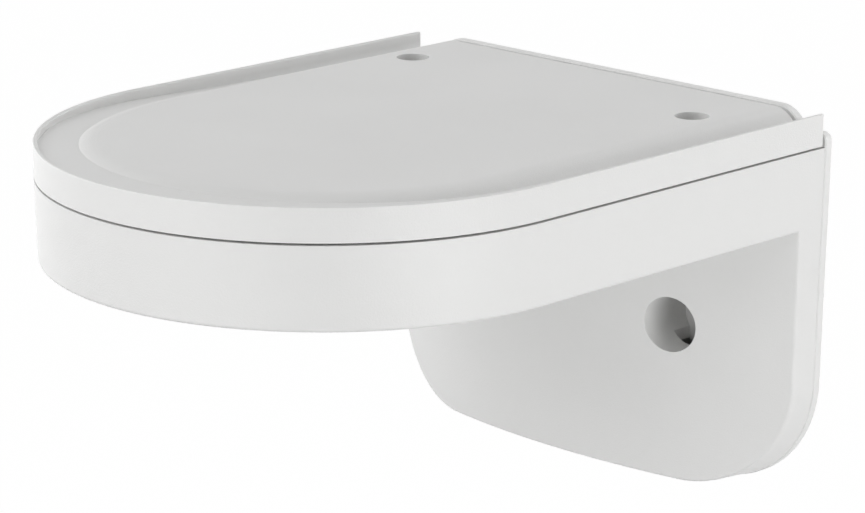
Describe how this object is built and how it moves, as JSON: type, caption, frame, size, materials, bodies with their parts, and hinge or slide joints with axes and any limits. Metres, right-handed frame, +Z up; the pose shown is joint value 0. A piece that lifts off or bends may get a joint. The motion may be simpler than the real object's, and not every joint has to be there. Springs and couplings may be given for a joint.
{
  "type": "camera wall bracket",
  "caption": "White wall bracket for a dome camera: a D-shaped cable box with a guttered, screwed cover stands out from a curved pedestal on a flat wall plate.",
  "frame": {"origin": "centre of the wall screw pattern, on the wall plate's rear face, which lies on the wall", "axes": "+Y into the wall, +Z up, +X to the right seen from the room"},
  "size_m": [0.1244, 0.1535, 0.0885],
  "materials": {
    "moulded_housing": "fine satin, white",
    "coated_steel": "white powder coat",
    "stainless_screw": "plain stainless",
    "seal_rubber": "black, dull",
    "insert_brass": "turned"
  },
  "bodies": {
    "root": {"wall_plate": "coated_steel", "main_body": "moulded_housing", "top_cover": "moulded_housing", "cover_gasket": "seal_rubber", "cable_grommet": "seal_rubber", "body_screw_left": "stainless_screw", "body_screw_right": "stainless_screw", "cover_screw_left": "stainless_screw", "cover_screw_right": "stainless_screw", "cover_screw_seal_left": "seal_rubber", "cover_screw_seal_right": "seal_rubber", "cover_insert_left": "insert_brass", "cover_insert_right": "insert_brass", "camera_insert_front_left": "insert_brass", "camera_insert_front_right": "insert_brass", "camera_insert_rear_left": "insert_brass", "camera_insert_rear_right": "insert_brass"}
  },
  "joints": []
}
